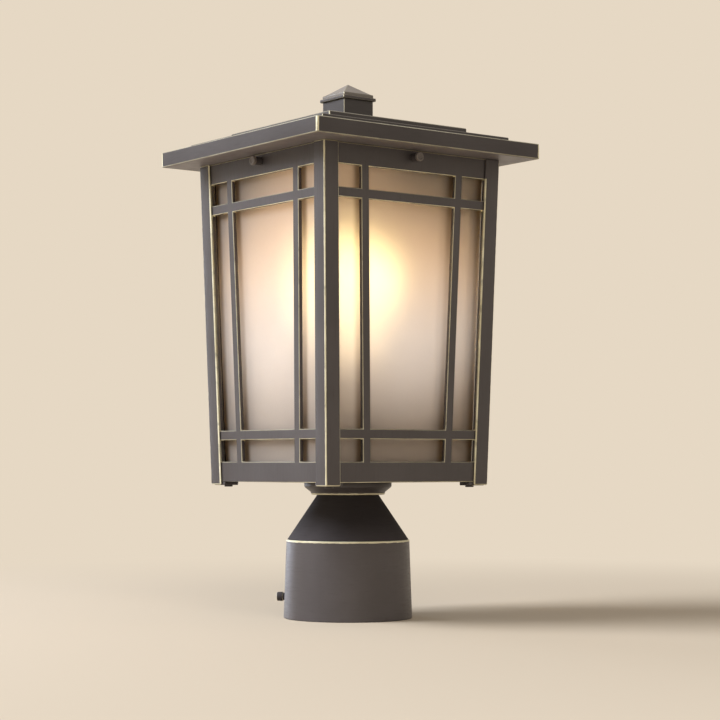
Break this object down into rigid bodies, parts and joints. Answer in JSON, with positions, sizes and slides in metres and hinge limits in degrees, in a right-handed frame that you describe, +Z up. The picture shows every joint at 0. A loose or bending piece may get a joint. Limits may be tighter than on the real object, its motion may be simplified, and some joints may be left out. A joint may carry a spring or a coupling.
{
  "type": "post top lantern",
  "caption": "Four-sided post top lantern in dark bronze with gold-rubbed edges, frosted panes behind barred grilles, a flat stepped roof and a round post fitter.",
  "frame": {"origin": "centre of the fitter's open rim, on the bottom plane, where the post goes in", "axes": "+Z up along the post's axis, -Y out of the front face, +X to the right"},
  "size_m": [0.181, 0.181, 0.3556],
  "materials": {
    "bronze": "dark bronze with edges rubbed back to a pale gold",
    "frosted_glass": "frosted, warm white",
    "bulb_glass": "frosted bulb, lit warm white",
    "brass": "plain brass",
    "steel": "zinc-plated steel",
    "porcelain": "white glazed porcelain"
  },
  "bodies": {
    "lantern_frame": {"bottom_pan": "bronze", "corner_gussets": "bronze", "corner_post_back_left": "bronze", "corner_post_back_right": "bronze", "corner_post_front_left": "bronze", "corner_post_front_right": "bronze", "fitter_collar": "bronze", "fitter_cone": "bronze", "glass_pane_back": "frosted_glass", "glass_pane_front": "frosted_glass", "glass_pane_left": "frosted_glass", "glass_pane_right": "frosted_glass", "ground_screw": "steel", "gusset_screws": "bronze", "pane_clips": "steel", "post_fitter": "bronze", "riser_nut_lower": "steel", "riser_nut_upper": "steel", "riser_sleeve": "bronze", "riser_tube": "steel", "riser_washer": "steel", "side_grille_back": "bronze", "side_grille_front": "bronze", "side_grille_left": "bronze", "side_grille_right": "bronze", "socket_body": "porcelain", "socket_contact": "brass", "socket_shell": "brass", "terminal_screws": "brass"},
    "roof": {"roof_cover": "bronze", "roof_soffit": "bronze", "roof_step": "bronze", "roof_tier": "bronze", "roof_skirt": "bronze", "turret": "bronze", "finial_flange": "bronze", "finial_cap": "bronze", "finial_rod": "steel", "finial_washer": "steel", "finial_nut": "steel"},
    "bulb": {"bulb_envelope": "bulb_glass", "bulb_base": "brass", "bulb_contact": "brass"},
    "set_screw_one": {"set_screw_1": "bronze"},
    "set_screw_two": {"set_screw_2": "bronze"},
    "front_thumb_screw": {"thumb_screw_front": "bronze"},
    "right_thumb_screw": {"thumb_screw_right": "bronze"},
    "back_thumb_screw": {"thumb_screw_back": "bronze"},
    "left_thumb_screw": {"thumb_screw_left": "bronze"}
  },
  "joints": [
    {"name": "roof_lift", "type": "slide", "parent": "lantern_frame", "child": "roof", "axis": [0, 0, 1], "range_m": [0, 0.05]},
    {"name": "bulb_out", "type": "slide", "parent": "lantern_frame", "child": "bulb", "axis": [0, 0, 1], "range_m": [0, 0.028]},
    {"name": "front_thumb_screw_out", "type": "slide", "parent": "lantern_frame", "child": "front_thumb_screw", "axis": [0, -1, 0], "range_m": [0, 0.003]},
    {"name": "right_thumb_screw_out", "type": "slide", "parent": "lantern_frame", "child": "right_thumb_screw", "axis": [1, 0, 0], "range_m": [0, 0.003]},
    {"name": "back_thumb_screw_out", "type": "slide", "parent": "lantern_frame", "child": "back_thumb_screw", "axis": [0, 1, 0], "range_m": [0, 0.003]},
    {"name": "left_thumb_screw_out", "type": "slide", "parent": "lantern_frame", "child": "left_thumb_screw", "axis": [-1, 0, 0], "range_m": [0, 0.003]},
    {"name": "set_screw_one_in", "type": "slide", "parent": "lantern_frame", "child": "set_screw_one", "axis": [0.7071, -0.7071, 0], "range_m": [-0.003, 0.0009]},
    {"name": "set_screw_two_in", "type": "slide", "parent": "lantern_frame", "child": "set_screw_two", "axis": [-0.7071, -0.7071, 0], "range_m": [-0.003, 0.0009]}
  ]
}
